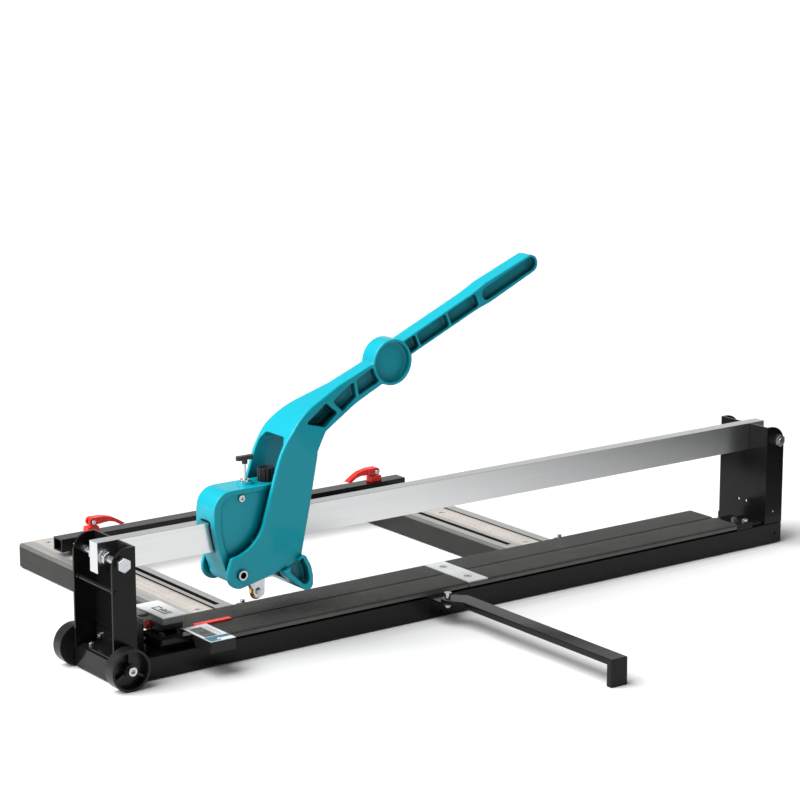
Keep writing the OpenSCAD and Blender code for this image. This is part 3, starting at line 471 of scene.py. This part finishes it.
def dress_nodes():
    slots = {s["node"]: s["material_slot"] for s in frame["record"]["subparts"]}
    for name, obj in NODES.items():
        obj.data.materials.clear()
        obj.data.materials.append(MATERIALS[name if name in OWN_FINISH else slots[name]])
        if name in CAST:
            soften_cast(obj, CAST[name])
        if name in EDGES:
            bevel_edges(obj, EDGES[name])


# ---------- added pieces, in millimetres ----------
def span(node, axis):
    """Lowest and highest coordinate of a CAD node, in millimetres."""
    low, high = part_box(node)
    return low[axis] / MM, high[axis] / MM


def piece(name, verts, faces, finish, body):
    """A mesh that rides on a body, with its vertices given in millimetres."""
    mesh = bpy.data.meshes.new(name)
    mesh.from_pydata([[c * MM for c in v] for v in verts], [], faces)
    mesh.validate()
    mesh.materials.append(MATERIALS[finish])
    obj = add_object(name, mesh)
    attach(obj, body)
    return obj


# ---------- printed marks ----------
INK_LIFT = 0.05


def print_height(node):
    return span(node, 2)[1] + INK_LIFT


def add_marks(name, rects, z, finish, body):
    """Thin printed rectangles lying at height z, each (x0, y0, x1, y1)."""
    verts, faces = [], []
    for x0, y0, x1, y1 in rects:
        n = len(verts)
        verts += [(x0, y0, z), (x1, y0, z), (x1, y1, z), (x0, y1, z)]
        faces.append((n, n + 1, n + 2, n + 3))
    piece(name, verts, faces, finish, body)


# Bars that make up each of the figures 0 to 9.
SEGMENTS = ("abcdef", "bc", "abged", "abgcd", "fgbc", "afgcd", "afgedc", "abc", "abcdefg", "abcdfg")
RULER_TYPE = {"width": 2.1, "height": 3.2, "stroke": 0.45, "pitch": 3}
DISPLAY_TYPE = {"width": 2.2, "height": 8.5, "stroke": 0.5, "pitch": 3.1}


def figure(value, x, y, width, height, stroke):
    """Bars of a seven-segment figure with its lower left corner at x, y."""
    right, middle, top = x + width, y + height / 2, y + height
    bars = {
        "a": (x, top - stroke, right, top),
        "b": (right - stroke, middle, right, top),
        "c": (right - stroke, y, right, middle),
        "d": (x, y, right, y + stroke),
        "e": (x, y, x + stroke, middle),
        "f": (x, middle, x + stroke, top),
        "g": (x, middle - stroke / 2, right, middle + stroke / 2),
    }
    return [bars[segment] for segment in SEGMENTS[value]]


def figures_row(text, x, y, width, height, stroke, pitch):
    bars = []
    for k, char in enumerate(text):
        bars += figure(int(char), x + pitch * k, y, width, height, stroke)
    return bars


RULER_WIDTH = 34
RULER_MARGIN = 2
TICK_INSET = 0.8
TICK_HALF = 0.13
# Spacing and length of the ticks, the first spacing that fits a tick counts.
TICK_LENGTHS = ((10, 6.5), (5, 4.6), (1, 3.0))
FIGURE_INSET = 9


def ruler_scale(name, x0, x1, y0, y1, z):
    """Millimetre ticks along both edges and centimetre figures."""
    ticks, figures = [], []
    left, right = x0 + TICK_INSET, x1 - TICK_INSET
    for mm in range(RULER_MARGIN, int(y1 - y0) - RULER_MARGIN + 1):
        length = next(length for step, length in TICK_LENGTHS if mm % step == 0)
        y = y0 + mm
        ticks.append((left, y - TICK_HALF, left + length, y + TICK_HALF))
        ticks.append((right - length, y - TICK_HALF, right, y + TICK_HALF))
        if mm % 10 == 0:
            text = str(mm // 10)
            text_width = RULER_TYPE["pitch"] * (len(text) - 1) + RULER_TYPE["width"]
            for x in (x0 + FIGURE_INSET, x1 - FIGURE_INSET - text_width):
                figures += figures_row(text, x, y - RULER_TYPE["height"] / 2, **RULER_TYPE)
    add_marks(name + "_ticks", ticks, z, "ink_red", "base")
    add_marks(name + "_figures", figures, z, "ink_red", "base")


def add_rulers():
    (x_low, x_high), (y0, y1) = span("rulers", 0), span("rulers", 1)
    z = print_height("rulers")
    ruler_scale("left_ruler", x_low, x_low + RULER_WIDTH, y0, y1, z)
    ruler_scale("middle_ruler", x_high - RULER_WIDTH, x_high, y0, y1, z)


# Display print: figures in the window, a border, a list of short lines and two bands.
READING = "1250"
READING_INSET = (2.2, 13)
BORDER = 1
LIST_LINES = 11
LIST_PITCH = 3.1
LIST_STROKE = 0.8
LIST_START = 2
LIST_INDENT = 2.4
LIST_INSET = (4, 8.5)
BAND_MARGIN = 0.6
BAND_SPLIT = 8.5
BAND_GAP = 2.5
SHORT_BAND_CUT = 20


def add_display_marks():
    (x0, x1), (y0, y1) = span("display_face", 0), span("display_face", 1)
    (left, right), (front, back) = span("display_window", 0), span("display_window", 1)
    reading = figures_row(READING, left + READING_INSET[0], front + READING_INSET[1], **DISPLAY_TYPE)
    add_marks("display_figures", reading, print_height("display_window"), "ink_black", "base")
    prints = [
        (left - BORDER, front - BORDER, right + BORDER, front),
        (left - BORDER, back, right + BORDER, back + BORDER),
        (left - BORDER, front, left, back),
        (right, front, right + BORDER, back),
    ]
    for k in range(LIST_LINES):
        x = right + LIST_INSET[0] + LIST_INDENT * (k % 2)
        y = front + LIST_START + LIST_PITCH * k
        prints.append((x, y, right + LIST_INSET[1], y + LIST_STROKE))
    split = y0 + BAND_SPLIT
    bands = [(x0 + BAND_MARGIN, split, x1 - BAND_MARGIN, front - BAND_GAP),
             (x0 + BAND_MARGIN, y0 + BAND_MARGIN, x1 - SHORT_BAND_CUT, split)]
    z = print_height("display_face")
    add_marks("display_print", prints, z, "ink_black", "base")
    add_marks("display_band", bands, z, "ink_blue", "base")


# Corners of the sign on the lid, from the middle of the lid.
SIGN_X = (-7, 5)
SIGN_Y = (-21, 11)
SIGN_STROKE = 2.2
SIGN_HOOK = 9
SIGN_BARS = 4
SIGN_BAR_INSET = (4.5, 4)
SIGN_BAR_PITCH = 4.6
SIGN_BAR_HEIGHT = 3


def add_lid_mark():
    """An open frame with bars, a generic sign."""
    (x0, x1), (y0, y1) = span("laser_lid", 0), span("laser_lid", 1)
    left, right = [(x0 + x1) / 2 + x for x in SIGN_X]
    front, back = [(y0 + y1) / 2 + y for y in SIGN_Y]
    rects = [
        (left, front, left + SIGN_STROKE, back),
        (left, back - SIGN_STROKE, right, back),
        (left, front, right, front + SIGN_STROKE),
        (right - SIGN_STROKE, back - SIGN_HOOK, right, back),
    ]
    for k in range(SIGN_BARS):
        y = front + SIGN_BAR_INSET[1] + SIGN_BAR_PITCH * k
        rects.append((left + SIGN_BAR_INSET[0], y, right - SIGN_STROKE * (k % 2), y + SIGN_BAR_HEIGHT))
    add_marks("lid_sign", rects, print_height("laser_lid"), "ink_black", "base")


# ---------- ribbed pads ----------
RIB_PITCH = 3.25
RIB_DEPTH = 1.2
# Shares of the pitch at which a groove's floor starts and ends and the next rib's top starts.
FLOOR_START, FLOOR_END, RIB_START = 0.10, 0.52, 0.60
INNER_CHAMFER = 0.5
# Distances in from the outer edge and down from the top that round the outer edge.
OUTER_ROUND = ((1.8, 0), (0.5, 0.7), (0, 2.4))
GROOVE_END_DROP = 2.7
# Share of a groove's depth that it cuts into the outer side.
SIDE_CUT = 0.35
# From the middle of the ridge to a pad's inner side.
RIDGE_GAP = 1.8
# The blocks start this far above the base. The strips that carry them there are not shown.
PAD_LIFT = 3
# Gaps to the left and right of the centre plate, and how much lower the pad under it lies.
PLATE_GAPS = (2, 0.5)
PLATE_SINK = 1.5


def rib_columns(x0, x1, depth):
    """Places along the pad, each with its depth below the pad's top."""
    if not depth:
        return [(x0, 0.0), (x1, 0.0)]
    count = max(1, int((x1 - x0) / RIB_PITCH))
    width = (x1 - x0) / count
    columns = [(x0, 0.0)]
    for k in range(count):
        x = x0 + (x1 - x0) * k / count
        columns += [(x + FLOOR_START * width, depth), (x + FLOOR_END * width, depth),
                    (x + RIB_START * width, 0.0), (x + width, 0.0)]
    return columns


def ribbed_block(x0, x1, side, y_in, y_out, z0, z1, depth):
    """Rubber pad with ribs across it that run down over its rounded outer edge."""
    top_edge, shoulder, low_edge = [(y_out - inset, z1 - drop) for inset, drop in OUTER_ROUND]
    # Each corner of the section, and the shares of a groove's depth that it moves down and in.
    section = [
        (y_in, z0, 0, 0), (y_in, z1 - INNER_CHAMFER, 0, 0), (y_in + INNER_CHAMFER, z1, 1, 0),
        (*top_edge, 1, 0), (*shoulder, 1, SIDE_CUT), (*low_edge, 1, SIDE_CUT),
        (y_out, z1 - GROOVE_END_DROP, 0, 0), (y_out, z0, 0, 0),
    ]
    columns = rib_columns(x0, x1, depth)
    verts = [(x, side * (y - inward * d), z - down * d)
             for x, d in columns for y, z, down, inward in section]
    n = len(section)
    # Faces on groove floors are listed so that they get the painted shade.
    faces, shaded_groove_faces = [], []
    for i in range(len(columns) - 1):
        is_cut = columns[i][1] + columns[i + 1][1] > 0
        for j in range(n):
            k = (j + 1) % n
            a, b = i * n + j, i * n + k
            faces.append((a, b, b + n, a + n) if side > 0 else (a, a + n, b + n, b))
            shaded_groove_faces.append(is_cut and section[j][2] + section[k][2] == 2)
    ends = [tuple(range(n)), tuple(range(len(verts) - n, len(verts)))]
    faces += [ends[0][::-1], ends[1]] if side > 0 else [ends[0], ends[1][::-1]]
    return verts, faces, shaded_groove_faces + [False, False]


def add_pads():
    """Pads with ribs on both sides of the ridge, and a plain pad under the centre plate."""
    (x0, x1), (z_low, z_top) = span("bed_pads", 0), span("bed_pads", 2)
    y_out = span("bed_pads", 1)[1]
    plate_x0, plate_x1 = span("centre_plate", 0)
    plate_end = plate_x1 + PLATE_GAPS[1]
    blocks = (
        (x0, plate_x0 - PLATE_GAPS[0], z_top, RIB_DEPTH),
        (plate_end, x1, z_top, RIB_DEPTH),
        (plate_x0, plate_end, z_top - PLATE_SINK, 0.0),
    )
    verts, faces, shaded_groove_faces = [], [], []
    for side in (-1, 1):
        for a, b, top, depth in blocks:
            block = ribbed_block(a, b, side, RIDGE_GAP, y_out, z_low + PAD_LIFT, top, depth)
            faces += [tuple(i + len(verts) for i in face) for face in block[1]]
            verts += block[0]
            shaded_groove_faces += block[2]
    pads = piece("ribbed_pads", verts, faces, "black_rubber", "base")
    # The floors of the grooves take groove_rubber, near black: painted shade in the grooves.
    pads.data.materials.append(MATERIALS["groove_rubber"])
    for polygon, deep in zip(pads.data.polygons, shaded_groove_faces):
        polygon.material_index = int(deep)
    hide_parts("bed_pads")


make_camera()
make_light()
make_floor()
make_dark_card()
dress_nodes()
add_pads()
add_rulers()
add_display_marks()
add_lid_mark()
